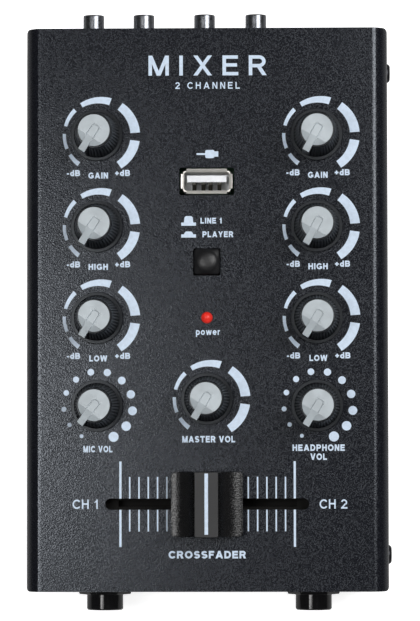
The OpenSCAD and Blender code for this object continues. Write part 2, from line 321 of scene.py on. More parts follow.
def bump(mat, height, strength, depth):
    """Adds a height to the surface's normal, on top of any bump there. depth is in millimetres."""
    nodes, links = mat.node_tree.nodes, mat.node_tree.links
    shader = nodes["Principled BSDF"]
    node = nodes.new("ShaderNodeBump")
    node.inputs["Strength"].default_value = strength
    node.inputs["Distance"].default_value = depth * MM
    links.new(height, node.inputs["Height"])
    before = shader.inputs["Normal"].links
    if before:
        links.new(before[0].from_socket, node.inputs["Normal"])
    links.new(node.outputs["Normal"], shader.inputs["Normal"])


def ramp(mat, value, stops):
    """A colour ramp with (position, colour) stops."""
    nodes, links = mat.node_tree.nodes, mat.node_tree.links
    node = nodes.new("ShaderNodeValToRGB")
    elements = node.color_ramp.elements
    while len(elements) < len(stops):
        elements.new(0.5)
    for element, (position, colour) in zip(elements, stops):
        element.position = position
        element.color = (*colour, 1) if len(colour) == 3 else colour
    links.new(value, node.inputs["Fac"])
    return node.outputs["Color"]


def mottle(mat, tex, dark, light, low=0.35, high=0.65):
    """Base colour that wanders between two tones."""
    colour = ramp(mat, tex.outputs[0], [(low, dark), (high, light)])
    mat.node_tree.links.new(colour, mat.node_tree.nodes["Principled BSDF"].inputs["Base Color"])


def rough_range(mat, tex, low, high):
    """Roughness that wanders between two values."""
    nodes, links = mat.node_tree.nodes, mat.node_tree.links
    node = nodes.new("ShaderNodeMapRange")
    node.inputs["To Min"].default_value = low
    node.inputs["To Max"].default_value = high
    links.new(tex.outputs[0], node.inputs["Value"])
    links.new(node.outputs["Result"], nodes["Principled BSDF"].inputs["Roughness"])


# ---- materials ----

def sparkle(mat, stops):
    """Roughness in fine cells. Each stop is where a roughness starts: the rough cells glint."""
    cells_per_m = 4500
    cells = texture(mat, "ShaderNodeTexVoronoi", cells_per_m)
    value = ramp(mat, cells.outputs["Color"], [(at, (k, k, k)) for at, k in stops])
    mat.node_tree.links.new(value, mat.node_tree.nodes["Principled BSDF"].inputs["Roughness"])


def powder_coat(name, tone):
    """Black powder coat: a semi-gloss skin over fine pebbles, which sparkle towards the lights."""
    cool_tint = (0.86, 0.92, 1.0, 1.0)
    mat = principled(name, tone, 0.2, Specular_IOR_Level=0.5, Specular_Tint=cool_tint)
    pebbles = texture(mat, "ShaderNodeTexNoise", 3100, Detail=1.0, Roughness=0.5)
    grain = texture(mat, "ShaderNodeTexNoise", 5200, Detail=1.0)
    mottle(mat, pebbles, tuple(0.7 * c for c in tone), tuple(1.4 * c for c in tone))
    sparkle(mat, [(0.30, 0.12), (0.58, 0.20), (0.76, 0.38), (0.88, 0.48)])
    bump(mat, pebbles.outputs[0], 0.8, 0.046)
    bump(mat, grain.outputs[0], 0.5, 0.012)
    return mat


def moulded(name, colour, roughness, grain_scale=2500, grain_depth=0.02, **inputs):
    """Moulded plastic with a fine surface grain."""
    mat = principled(name, colour, roughness, **inputs)
    grain = texture(mat, "ShaderNodeTexNoise", grain_scale, Detail=2.0)
    wear = texture(mat, "ShaderNodeTexNoise", 180, Detail=3.0)
    mottle(mat, wear, tuple(0.9 * c for c in colour), tuple(min(1.0, 1.1 * c) for c in colour))
    rough_range(mat, grain, max(0.02, roughness - 0.06), min(1.0, roughness + 0.06))
    bump(mat, grain.outputs[0], 0.4, grain_depth)
    return mat


def metal(name, colour, roughness, streak=(400, 400, 400), depth=0.004, metallic=1.0):
    """Metal with faint streaks that run along the axis of the smallest scale."""
    mat = principled(name, colour, roughness, metallic=metallic)
    nodes, links = mat.node_tree.nodes, mat.node_tree.links
    tex = texture(mat, "ShaderNodeTexNoise", 1.0, Detail=3.0)
    mapping = nodes.new("ShaderNodeMapping")
    mapping.inputs["Scale"].default_value = streak
    links.new(nodes["coords"].outputs["Object"], mapping.inputs["Vector"])
    links.new(mapping.outputs["Vector"], tex.inputs["Vector"])
    mottle(mat, tex, tuple(0.85 * c for c in colour), colour)
    rough_range(mat, tex, max(0.03, roughness - 0.08), roughness + 0.1)
    bump(mat, tex.outputs[0], 0.3, depth)
    return mat


def print_ink(name, colour):
    """Screen-printed ink: matt, faintly uneven, following the coat's pebbles."""
    mat = principled(name, colour, 0.38)
    pebbles = texture(mat, "ShaderNodeTexVoronoi", 1700, feature="SMOOTH_F1", Smoothness=0.6)
    blotch = texture(mat, "ShaderNodeTexNoise", 1100, Detail=3.0)
    mottle(mat, blotch, tuple(0.9 * c for c in colour), colour, 0.38, 0.6)
    bump(mat, pebbles.outputs["Distance"], 0.3, 0.06)
    return mat


COAT = powder_coat("powder_coat", (0.0055, 0.006, 0.009))
CHASSIS_COAT = powder_coat("chassis_coat", (0.007, 0.0075, 0.010))
INK = print_ink("panel_ink", (0.65, 0.77, 0.92))
KNOB_BLACK = moulded("knob_black", (0.0062, 0.0068, 0.0085), 0.32, grain_depth=0.012,
                     Specular_IOR_Level=0.42, Specular_Tint=(0.88, 0.94, 1.0, 1.0))
CAP_GREY = moulded("cap_grey", (0.46, 0.51, 0.54), 0.4, Specular_IOR_Level=0.5)
FADER_GREY = moulded("fader_grey", (0.014, 0.014, 0.015), 0.48, grain_scale=2400, grain_depth=0.05)
# The cap's lower faces: a glossier grained plastic in a darker colour. The darker colour is painted
# shade; the grain and glints are the plastic's own texture.
FADER_GRAIN_AND_SHADE = moulded("fader_grain_and_shade", (0.006, 0.006, 0.0065), 0.2, grain_scale=2600, grain_depth=0.2)
sparkle(FADER_GRAIN_AND_SHADE, [(0.35, 0.17), (0.60, 0.22), (0.85, 0.36)])
# Near-black for the fader body, so that the slot looks black: painted shade for the inside of the
# slot.
SLOT_SHADE_BLACK = moulded("slot_shade_black", (0.004, 0.0035, 0.003), 0.6, Specular_IOR_Level=0.15)
BUTTON_GLOSS = moulded("button_gloss", (0.008, 0.008, 0.009), 0.4,
                       grain_scale=900, grain_depth=0.004)
JACK_BLACK = moulded("jack_black", (0.006, 0.006, 0.007), 0.1, grain_depth=0.002)
INNER_BLACK = moulded("inner_black", (0.02, 0.02, 0.021), 0.5)
WHITE_PLASTIC = moulded("white_plastic", (0.84, 0.86, 0.89), 0.35, grain_depth=0.004)
RUBBER = moulded("foot_rubber", (0.018, 0.018, 0.019), 0.8, grain_depth=0.05)
# Nickel for the sleeves with a dark tone: painted shade, standing in for the dim surroundings that
# the sleeves mirror.
NICKEL_PAINTED_DIM = metal("nickel_painted_dim", (0.25, 0.26, 0.28), 0.28, streak=(1500, 900, 1500), depth=0.02)
SOCKET_METAL = metal("socket_metal", (0.86, 0.84, 0.79), 0.38, streak=(300, 300, 80), metallic=0.6)
STEEL = metal("pressed_steel", (0.50, 0.51, 0.53), 0.35)
ALUMINIUM = metal("shaft_aluminium", (0.74, 0.74, 0.75), 0.3, streak=(300, 300, 900))
BRASS = metal("pillar_brass", (0.62, 0.48, 0.22), 0.25)
BRIGHT = metal("bright_screw", (0.7, 0.7, 0.72), 0.22)
BLACK_ZINC = metal("black_zinc", (0.045, 0.045, 0.05), 0.38)
# Dark metal for the USB socket's spring contacts: painted shade, for contacts lying in shadow down
# in the socket.
CONTACT_SHADE_DARK = metal("contact", (0.10, 0.095, 0.085), 0.3)
BOARD_GREEN = moulded("solder_mask", (0.02, 0.12, 0.045), 0.3, grain_scale=600)
RIBBON = moulded("ribbon", (0.33, 0.35, 0.38), 0.5)


def lamp_red():
    """Diffused red epoxy, lit from inside, with a faintly clouded colour."""
    mat = principled("led_red", (0.6, 0.03, 0.02), 0.3)
    shader = mat.node_tree.nodes["Principled BSDF"]
    shader.inputs["Emission Color"].default_value = (1.0, 0.035, 0.02, 1)
    shader.inputs["Emission Strength"].default_value = 0.3
    cloud = texture(mat, "ShaderNodeTexNoise", 1500, Detail=1.0)
    mottle(mat, cloud, (0.45, 0.015, 0.01), (0.65, 0.04, 0.03))
    bump(mat, cloud.outputs[0], 0.2, 0.02)
    return mat


LED_RED = lamp_red()


# ---- case ----

def cover_profile():
    """Section of the folded cover, across X, from the right wall's foot round to the left wall's.

    The panel droops a little just before each bend, more on the right, and each bend starts at a
    crease.
    """
    half, low, top = BODY_W / 2, COVER_LOW.z, PANEL_Z
    crease, inset, droop_w = 66, 3.4, 1.1      # the bend's angle, its width and the droop's width
    right_droop, left_droop = 0.14, 0.05
    bend_steps, inner_steps = 24, 8
    r = inset / (1 - math.cos(math.radians(crease)))

    def edge(droop):
        """From the wall's foot up round the bend and in to where the panel is flat."""
        bend_z = top - droop - r * math.sin(math.radians(crease))
        points = [(half, low)] + arc(half - r, bend_z, r, 0, crease, bend_steps)
        for t in (0.25, 0.5, 0.75, 1):
            points.append((half - inset - droop_w * t, top - droop * (1 - t) ** 2))
        return points

    outside = edge(right_droop) + [(-x, z) for x, z in reversed(edge(left_droop))]
    inner = BEND_R - SHEET_T
    cx, cz = half - BEND_R, top - BEND_R
    inside = arc(-cx, cz, inner, 180, 90, inner_steps) + arc(cx, cz, inner, 90, 0, inner_steps)
    return outside + [(-half + SHEET_T, low)] + inside + [(half - SHEET_T, low)]


def make_cover():
    profile = cover_profile()
    cover = loft("cover", [[(x, s * BODY_L / 2, z) for x, z in profile] for s in (-1, 1)])
    corner_r, shaft_r, lamp_r, past = 1.2, 3.6, 1.6, 1
    plan = rounded_rect(BODY_W, BODY_L, corner_r)
    cut(cover, [prism("plan", plan, COVER_LOW.z - past, PANEL_Z + past)], "INTERSECT")
    z0, z1 = PANEL_Z - SHEET_T - past, PANEL_Z + past
    cutters = [cylinder("cutter", p.x, p.y, z0, z1, shaft_r) for p in CONTROLS.values()]
    for node, w, l, r, steps in (("usb_shell", 15.3, 7.7, 0.5, 4), ("button_cap", 7.6, 7.6, 0.4, 4),
                                 ("fader_body", 56.7, 3.1, 1.5, 6)):
        c = centre_mm(node)
        cutters.append(prism("cutter", rounded_rect(w, l, r, steps, c.x, c.y), z0, z1))
    lamp = centre_mm("power_led")
    cutters.append(cylinder("cutter", lamp.x, lamp.y, z0, z1, lamp_r))
    cut(cover, cutters)
    bevel(cover, 0.22, 2, 50)
    smooth(cover, 30)
    place(cover, COAT, "case", ["top_cover"])


# ---- legends printed on the panel ----

INK_LOW, INK_HIGH = PANEL_Z - 0.02, PANEL_Z + 0.03
RING_ARCS = [(214, 236), (247, 273), (286, 318), (331, 380), (397, 446), (458, 505)]
RING_INNER, RING_OUTER, RING_OFFSET = 9.0, 10.8, 0.9
RINGED = ["gain_1", "high_1", "low_1", "gain_2", "high_2", "low_2", "master"]
DOTTED = ["mic", "headphone"]


def ring_at(name):
    p = CONTROLS[name]
    return p.x + PRINT_SHIFT.x, p.y + PRINT_SHIFT.y


def legend(name, outlines):
    """Ink raised a little above the panel."""
    ink = raise_outlines(name, outlines, INK_LOW, INK_HIGH, step=0.002)
    place(ink, INK, "case")


def ring_arc(x, y, start, end):
    """A printed arc that widens to the right, between two clock angles in degrees."""
    degrees_per_step = 4
    steps = max(3, round((end - start) / degrees_per_step))
    inner, outer = [], []
    for i in range(steps + 1):
        a = math.radians(start + (end - start) * i / steps)
        dx, dy = math.sin(a), math.cos(a)
        reach = RING_OFFSET * dx + math.sqrt(RING_OUTER ** 2 - (RING_OFFSET * dy) ** 2)
        inner.append((x + RING_INNER * dx, y + RING_INNER * dy))
        outer.append((x + reach * dx, y + reach * dy))
    return outer + inner[::-1]


def make_rings():
    legend("legend_rings", [ring_arc(*ring_at(c), *span) for c in RINGED for span in RING_ARCS])


def make_dots():
    count, first, step, reach = 12, 209, 27.7, 9.6
    smallest, largest = 1.1, 2.8
    dots = []
    for c in DOTTED:
        x, y = ring_at(c)
        for i in range(count):
            a = math.radians(first + step * i)
            d = smallest + (largest - smallest) * i / (count - 1)
            dots.append(circle(x + reach * math.sin(a), y + reach * math.cos(a), d / 2, 20))
    legend("legend_dots", dots)


def letters(w):
    """Plain capitals and the few other signs needed, one unit high with strokes w wide.

    Each is its width and the outlines of its strokes.
    """
    def slant(x0, y0, x1, y1, t=1.1 * w):
        return [(x0, y0), (x0 + t, y0), (x1 + t, y1), (x1, y1)]

    def bow(cx, cy, rx, ry, start, end):
        """A curved stroke inside part of an ellipse, with angles in degrees."""
        steps = max(4, round(abs(end - start) / 15))
        angles = [math.radians(start + (end - start) * i / steps) for i in range(steps + 1)]
        outer = [(cx + rx * math.cos(a), cy + ry * math.sin(a)) for a in angles]
        inner = [(cx + (rx - w) * math.cos(a), cy + (ry - w) * math.sin(a)) for a in angles]
        return outer + inner[::-1]

    def stem(x, y=1.0, foot=0.0):
        return rectangle(x, foot, x + w, y)

    def bar(y, x1, x0=0.0):
        """A stroke across, centred on y but kept inside the letter's height."""
        y = min(max(y, w / 2), 1 - w / 2)
        return rectangle(x0, y - w / 2, x1, y + w / 2)

    def oval(cx, cy, rx, ry):
        return [bow(cx, cy, rx, ry, -90, 90), bow(cx, cy, rx, ry, 90, 270)]

    quarter = 0.25 + w / 4               # height of each half of B and S, as a radius
    t = 1.1 * w
    small, bowl = 0.72, 0.36             # height of the small letters and radius of their bowls
    return {
        " ": (0.28, []),
        "A": (0.98, [slant(0, 0, 0.49 - t / 2, 1), slant(0.98 - t, 0, 0.49 - t / 2, 1),
                     bar(0.3, 0.8, 0.18)]),
        "B": (0.83, [stem(0), bar(0, 0.5), bar(0.5, 0.5), bar(1, 0.48),
                     bow(0.5, quarter, 0.33, quarter, -90, 90),
                     bow(0.48, 1 - quarter, 0.31, quarter, -90, 90)]),
        "C": (0.92, [bow(0.5, 0.5, 0.5, 0.5, 38, 322)]),
        "D": (0.86, [stem(0), bar(0, 0.42), bar(1, 0.42), bow(0.4, 0.5, 0.46, 0.5, -90, 90)]),
        "E": (0.76, [stem(0), bar(0, 0.76), bar(0.52, 0.7), bar(1, 0.74)]),
        "F": (0.7, [stem(0), bar(0.5, 0.62), bar(1, 0.7)]),
        "G": (0.96, [bow(0.5, 0.5, 0.5, 0.5, 38, 318), bar(0.42, 0.96, 0.52),
                     rectangle(0.96 - w, 0.12, 0.96, 0.42)]),
        "H": (0.8, [stem(0), stem(0.8 - w), bar(0.53, 0.8)]),
        "I": (w, [stem(0)]),
        "L": (0.7, [stem(0), bar(0, 0.7)]),
        "M": (0.98, [stem(0), stem(0.98 - w), slant(0, 1, 0.49 - t / 2, 0),
                     slant(0.98 - t, 1, 0.49 - t / 2, 0)]),
        "N": (0.8, [stem(0), stem(0.8 - w), slant(0, 1, 0.8 - t, 0)]),
        "O": (1.0, oval(0.5, 0.5, 0.5, 0.5)),
        "P": (0.8, [stem(0), bar(0.46, 0.5), bar(1, 0.5),
                    bow(0.48, 0.73 - w / 4, 0.32, 0.27 + w / 4, -90, 90)]),
        "R": (0.86, [stem(0), bar(0.48, 0.5), bar(1, 0.5),
                     bow(0.48, 0.74 - w / 4, 0.33, 0.26 + w / 4, -90, 90),
                     slant(0.86 - 1.25 * w, 0, 0.36, 0.46, 1.25 * w)]),
        "S": (0.8, [bow(0.4, 1 - quarter, 0.38, quarter, 25, 270),
                    bow(0.4, quarter, 0.4, quarter, 205, 450)]),
        "T": (0.84, [bar(1, 0.84), stem(0.42 - w / 2)]),
        "V": (0.92, [slant(0, 1, 0.46 - t / 2, 0), slant(0.92 - t, 1, 0.46 - t / 2, 0)]),
        "W": (1.3, [slant(0, 1, 0.34 - t / 2, 0), slant(0.65 - t / 2, 1, 0.34 - t / 2, 0),
                    slant(0.65 - t / 2, 1, 0.96 - t / 2, 0), slant(1.3 - t, 1, 0.96 - t / 2, 0)]),
        "X": (0.9, [slant(0, 0, 0.9 - 1.2 * w, 1, 1.2 * w),
                    slant(0, 1, 0.9 - 1.2 * w, 0, 1.2 * w)]),
        "Y": (0.9, [slant(0, 1, 0.45 - t / 2, 0.4), slant(0.9 - t, 1, 0.45 - t / 2, 0.4),
                    rectangle(0.45 - w / 2, 0, 0.45 + w / 2, 0.45)]),
        "d": (0.68, oval(0.36, bowl, 0.36, bowl) + [stem(0.68 - w)]),
        "e": (0.7, [bow(0.35, bowl, 0.35, bowl, 0, 322), bar(bowl, 0.66, 0.06)]),
        "o": (0.72, oval(0.36, bowl, 0.36, bowl)),
        "p": (0.68, oval(0.32, bowl, 0.36, bowl) + [stem(0, small, small - 1)]),
        "r": (0.42, [stem(0, small), bow(0.4, small - 0.28, 0.4, 0.28, 90, 165)]),
        "w": (1.0, [slant(0, small, 0.28 - w / 2, 0, w),
                    slant(0.5 - w / 2, small, 0.28 - w / 2, 0, w),
                    slant(0.5 - w / 2, small, 0.72 - w / 2, 0, w),
                    slant(1.0 - w, small, 0.72 - w / 2, 0, w)]),
        "+": (0.62, [rectangle(0, 0.45 - w / 2, 0.62, 0.45 + w / 2),
                     rectangle(0.31 - w / 2, 0.14, 0.31 + w / 2, 0.76)]),
        "-": (0.36, [rectangle(0, 0.38 - w / 2, 0.36, 0.38 + w / 2)]),
        "1": (0.44, [stem(0.44 - w), slant(0, 0.66, 0.44 - w, 1 - w / 2, w)]),
        "2": (0.74, [bow(0.36, 0.66, 0.36, 0.34, -40, 165), bar(0, 0.74),
                     slant(0, w / 2, 0.64 - 1.3 * w, 0.54, 1.3 * w)]),
    }


def word(text, x, y, height, width, weight=0.24, gap=0.17):
    """The strokes of a word centred on (x, y). height is that of its capitals.

    weight is the strokes' width and gap the space between letters, as parts of that height.
    """
    shapes = letters(weight)
    length = sum(shapes[letter][0] + gap for letter in text) - gap
    left, foot = x - width / 2, y - height / 2
    strokes, pen = [], 0.0
    for letter in text:
        advance, outlines = shapes[letter]
        for outline in outlines:
            strokes.append([(left + (pen + px) / length * width, foot + py * height)
                            for px, py in outline])
        pen += advance + gap
    return strokes


# words beside each knob: the word, its place from the knob's printed centre, height and width
TONE_WORDS = [("-dB", -6.9, -10.5, 1.7, 3.7), ("+dB", 6.8, -10.5, 1.7, 4.2)]
KNOB_WORDS = {
    "gain_1": [("GAIN", 0.0, -11.2, 1.7, 5.5)] + TONE_WORDS,
    "high_1": [("HIGH", 0.0, -11.2, 1.7, 5.4)] + TONE_WORDS,
    "low_1": [("LOW", 0.0, -11.2, 1.7, 5.0)] + TONE_WORDS,
    "gain_2": [("GAIN", 0.0, -11.2, 1.7, 5.5)] + TONE_WORDS,
    "high_2": [("HIGH", 0.0, -11.2, 1.7, 5.4)] + TONE_WORDS,
    "low_2": [("LOW", 0.0, -11.2, 1.7, 5.0)] + TONE_WORDS,
    "mic": [("MIC VOL", -0.1, -12.0, 1.8, 8.1)],
    "master": [("MASTER VOL", 0.1, -11.2, 1.8, 14.7)],
    "headphone": [("HEADPHONE", 0.0, -11.7, 1.8, 14.5), ("VOL", 0.0, -14.2, 1.8, 4.6)],
}


def make_labels():
    words = []
    for c, beside in KNOB_WORDS.items():
        x, y = ring_at(c)
        for text, dx, dy, height, width in beside:
            words += word(text, x + dx, y + dy, height, width)
    fader_y, button_y = centre_mm("fader_body").y, centre_mm("button_cap").y
    words += word("CROSSFADER", 0.0, fader_y - 14.0, 2.1, 21.5)
    words += word("CH 1", -33.9, fader_y, 2.6, 7.0, 0.17)
    words += word("CH 2", 35.0, fader_y, 2.6, 7.7, 0.17)
    words += word("power", 0.3, centre_mm("power_led").y - 3.9, 1.9, 6.7, 0.19)
    words += word("LINE 1", 1.2, button_y + 11.5, 1.6, 5.9)
    words += word("PLAYER", 3.1, button_y + 7.7, 1.65, 8.6)
    words += word("MIXER", 0.3, 68.0, 5.6, 33.0, 0.17, 0.5)
    words += word("2 CHANNEL", 0.3, 62.4, 1.9, 18.0, 0.18, 0.45)
    legend("legend_words", words)


def make_fader_scale():
    fader_y = centre_mm("fader_body").y
    long_x, long_l, long_w = 24.2, 23.7, 0.62
    pitch, short_l, short_w = 2.58, 15.1, 0.40
    gap, shift = 3.1, 0.1                # the slot's gap, and how far the print sits to the right
    lines = [(long_x, long_l, long_w)]
    lines += [(long_x - pitch * k, short_l, short_w) for k in range(1, 6)]
    marks = []
    for side in (-1, 1):
        for reach, length, width in lines:
            x = side * reach + shift
            for up in (-1, 1):
                ends = sorted((fader_y + up * gap / 2, fader_y + up * length / 2))
                marks.append(rectangle(x - width / 2, ends[0], x + width / 2, ends[1]))
    legend("legend_fader_scale", marks)


def make_icons():
    """Raised and pressed button signs, and a plain plug sign over the socket."""
    button_y = centre_mm("button_cap").y
    x, half, bar_h = -5.05, 2.05, 0.9    # the signs' middle, and the bar that each cap stands on
    signs = []
    for y, rise in ((button_y + 10.1, 1.9), (button_y + 6.8, 0.9)):
        signs.append(rectangle(x - half, y, x + half, y + bar_h))
        foot = y + 0.8
        side = [(x + 1.3, foot), (x + 1.15, foot + rise - 0.4), (x + 0.75, foot + rise)]
        signs.append(side + [(2 * x - px, py) for px, py in reversed(side)])
    plug_y = centre_mm("usb_shell").y + 7.6
    signs.append(rounded_rect(2.6, 2.3, 0.5, 4, 0.9, plug_y))
    signs.append(rectangle(1.95, plug_y - 0.75, 3.25, plug_y + 0.75))
    signs.append(rectangle(-2.8, plug_y - 0.25, -0.2, plug_y + 0.25))
    legend("legend_signs", signs)


# ---- knobs ----

FLUTES = 42
STEPS_PER_FLUTE = 8


def make_knob(name):
    """The fluted grip, its skirt and fin, and the grey pointer cap, turned to the resting angle."""
    p = CONTROLS[name]
    low, high = box_mm(name + "_knob")
    base, top = low.z, high.z
    skirt_r, grip_low, grip_high, rim_r, seat_r = 7.2, 6.25, 4.95, 4.9, 4.5
    flute_depth, flute_from, flute_to = 0.42, base + 0.9, top - 0.9

    def grip_radius(r, z, a):
        if not flute_from < z < flute_to:
            return r
        fade = min(1.0, (z - flute_from) / 0.8, (flute_to - z) / 0.4)
        return r - flute_depth * fade * (1 - abs(math.sin(FLUTES * a / 2)) ** 0.8)

    start, rows = base + 1.0, 14
    profile = [(6.0, base + 0.6), (6.2, base), (skirt_r - 0.12, base), (skirt_r, base + 0.12),
               (skirt_r, base + 0.6), (skirt_r - 0.09, base + 0.69), (grip_low + 0.1, base + 0.71)]
    for i in range(rows + 1):
        t = i / rows
        z = start + (flute_to + 0.02 - start) * t
        profile.append((grip_low - (grip_low - grip_high) * t, z))
    profile += [(grip_high, top - 0.75), (rim_r, top - 0.25), (rim_r - 0.18, top - 0.02)]
    profile += [(seat_r, top), (seat_r, top - 0.6), (0, top - 0.6)]
    grip = lathe(name + "_grip", profile, FLUTES * STEPS_PER_FLUTE, radius=grip_radius)
    fin = prism("fin", rounded_rect(2.3, 2.6, 0.3, 3, 0, -5.15), base + 1.2, top - 1.1)
    bevel(fin, 0.12, 2)
    body = smooth(join(name + "_grip_body", [grip, fin]), 32)
    cap = make_cap(name, top)
    for piece in (body, cap):
        move(piece, turn=(-REST_ANGLE[name], "Z"))
        move(piece, p.x, p.y)
    place(body, KNOB_BLACK, name, [name + "_knob"])
    place(cap, CAP_GREY, name, [name + "_cap"])


def make_cap(name, seat):
    """A disc with a slanted facet at the front, and a pointer bar that slopes out over the fin."""
    r, facet, far = 4.33, 2.0, 8.0
    slope, fall = math.tan(math.radians(31)), math.tan(math.radians(19))
    bar_top = box_mm(name + "_cap")[1].z
    top = bar_top - 0.1
    profile = [(0, seat - 0.5), (r - 0.05, seat - 0.5), (r, seat - 0.4), (r, top), (0, top)]
    disc = lathe("disc", profile, 72)
    wedge = [(-facet, top), (-far, top - (far - facet) * slope), (-far, top + 3), (-facet, top + 3)]
    cut(disc, [loft("wedge", [[(x, y, z) for y, z in wedge] for x in (-6, 6)])])
    cut(disc, [prism("groove", pointer_outline(1.2, 1.67, -3.2), top - 0.35, top + 1)])
    bevel(disc, 0.18, 3, 20)
    bar_half, inner, reach, bend = 0.98, 1.45, 6.5, 1.8
    under, tip = top - 2.1, bar_top - (far - bend) * fall
    section = [(inner + 1, under), (inner + 1, bar_top), (-bend, bar_top), (-far, tip),
               (-far, under)]
    bar = loft("bar", [[(x, y, z) for y, z in section] for x in (-3, 3)])
    plan = prism("plan", pointer_outline(bar_half, inner, -reach), under - 1, bar_top + 1)
    bevel(cut(bar, [plan], "INTERSECT"), 0.08, 2, 15)
    return smooth(join(name + "_pointer_cap", [disc, bar]), 22)


def pointer_outline(half, inner, outer):
    """Plan of the pointer bar: a round inner end at y = inner, a square outer end at y = outer."""
    r = half * 0.75
    head = arc(half - r, inner - r, r, 0, 90, 5) + arc(-half + r, inner - r, r, 90, 180, 5)
    return [(half, outer)] + head + [(-half, outer)]


# ---- crossfader ----

def make_fader():
    """The cap: a flat-topped ridge with a white line let in, and a scoop each side."""
    low, high = box_mm("fader_cap")
    cx, cy = (low.x + high.x) / 2, (low.y + high.y) / 2
    half, ridge, floor = (high.x - low.x) / 2, 3.3, 4.3    # floor is the scoops' lowest height
    steps, corner_r = 20, 1.2
    rise = high.z - low.z
    side = [(half, 0.0)]
    for i in range(steps + 1):
        t = math.radians(90 * i / steps)
        side.append((half - (half - ridge) * math.sin(t),
                     floor + (rise - floor) * (1 - math.cos(t))))
    outline = side + [(-x, z) for x, z in reversed(side)]
    body = loft("fader_cap_body",
                [[(cx + x, y, low.z + z) for x, z in outline] for y in (low.y, high.y)])
    plan = rounded_rect(2 * half, high.y - low.y, corner_r, 6, cx, cy)
    cut(body, [prism("plan", plan, low.z - 1, high.z + 1)], "INTERSECT")
    hollow = block("hollow", (16, 14, 3), (cx, cy, low.z + 0.5))
    lever_seat = block("seat", (3.9, 1.1, 12), (cx, cy, low.z + 1))
    cut(body, [hollow, lever_seat])
    bevel(body, 0.4, 3, 50)
    smooth(body, 40)
    place(body, FADER_GREY, "crossfader", ["fader_cap"])
    # the faces below the ridge top are painted darker, as shade, while the ridge top keeps the
    # lighter grey
    paint(body, FADER_GRAIN_AND_SHADE, lambda face: face.center.z < (high.z - 0.5) * MM)
    line_half, below, above = 0.5, 0.3, 0.06
    section = [(-line_half, -below), (line_half, -below), (line_half, above), (-line_half, above)]
    mark = loft("fader_line", [[(cx + x, y, high.z + z) for x, z in section]
                               for y in (low.y + 0.8, high.y - 0.4)])
    bevel(mark, 0.08, 2, 40)
    place(mark, INK, "crossfader")


# ---- push button and lamp ----

def make_button():
    """A square cap with a pillowed top, squarer at its edges and rounder towards its middle."""
    low, high = box_mm("button_cap")
    c = (low + high) / 2
    half = (high.x - low.x) / 2
    rise, corner, steps, round_by = 1.7, 0.7, 14, 5
    plunger_w, plunger_h, overlap = 3.0, 4.3, 0.2     # the cap clears its switch by the plunger
    rings = []

    def ring(w, z, r):
        outline = rounded_rect(2 * w, 2 * w, min(r, w * 0.98), 6, c.x, c.y)
        rings.append([(x, y, z) for x, y in outline])

    ring(half, low.z + plunger_h, corner)
    ring(half, high.z - rise, corner)
    for i in range(1, steps + 1):
        a = math.radians(88 * i / steps)
        w = half * math.cos(a) ** 0.8
        r = corner + max(0.0, w * 0.98 - corner) * min(1.0, i / round_by)
        ring(w, high.z - rise * (1 - math.sin(a)), r)
    cap = loft("button", rings)
    plunger_top = low.z + plunger_h + overlap
    plunger = block("plunger", (plunger_w, plunger_w, plunger_h + overlap),
                    (c.x, c.y, (low.z + plunger_top) / 2))
    cap = smooth(join("push_button", [cap, plunger]), 60)
    place(cap, BUTTON_GLOSS, "button", ["button_cap"])


def make_lamp():
    low, high = box_mm("power_led")
    c = (low + high) / 2
    r, flange_r, leg_w, leg_x = 1.5, 1.9, 0.5, 0.9
    shoulder = high.z - r
    foot = shoulder - 3
    profile = [(0, foot), (flange_r, foot), (flange_r, foot + 1), (r, foot + 1)]
    profile += arc(0, shoulder, r, 0, 90, 8)[:-1] + [(0, high.z)]
    lens = move(lathe("lamp_lens", profile, 40), c.x, c.y)
    legs = [block("leg", (leg_w, leg_w, foot - low.z), (c.x + s * leg_x, c.y, (foot + low.z) / 2))
            for s in (-1, 1)]
    lens = smooth(join("power_lamp", [lens] + legs), 40)
    place(lens, LED_RED, "case", ["power_led"])


# ---- USB socket ----

def make_usb():
    low, high = box_mm("usb_shell")
    c = (low + high) / 2
    t, inner_w, inner_l = 0.35, 12.5, 5.12
    tube_top = high.z - 0.55
    outer = rounded_rect(inner_w + 2 * t, inner_l + 2 * t, 0.7, 5, c.x, c.y)
    inner = rounded_rect(inner_w, inner_l, 0.4, 5, c.x, c.y)
    levels = ((outer, low.z), (outer, tube_top), (inner, tube_top), (inner, low.z + 0.4))
    parts = [loft("shell", [[(x, y, z) for x, y in outline] for outline, z in levels])]
    for side in (-1, 1):
        for length, reach, along_x in ((11.3, inner_l / 2, True), (4.1, inner_w / 2, False)):
            parts.append(usb_lip(c, side, length, reach, t, tube_top, high.z, along_x))
    socket = smooth(join("usb_socket_shell", parts), 35)
    place(socket, SOCKET_METAL, "case", ["usb_shell"])
    make_tongue(c)


def usb_lip(c, side, length, reach, t, z0, z1, along_x):
    """A lip bent out from the mouth of the socket, drawn as a section that runs along one side."""
    curl = [(reach, z0 - 0.6), (reach, z0), (reach + 0.14, z0 + 0.24), (reach + 0.9, z1),
            (reach + 0.98, z1 - t), (reach + 0.55, z1 - t - 0.12), (reach + t + 0.05, z0 - 0.05),
            (reach + t, z0 - 0.6)]
    rings = []
    for end in (-length / 2, length / 2):
        if along_x:
            rings.append([(c.x + end, c.y + side * q, z) for q, z in curl])
        else:
            rings.append([(c.x + side * q, c.y + end, z) for q, z in curl])
    return bevel(loft("lip", rings), 0.06, 2, 50)


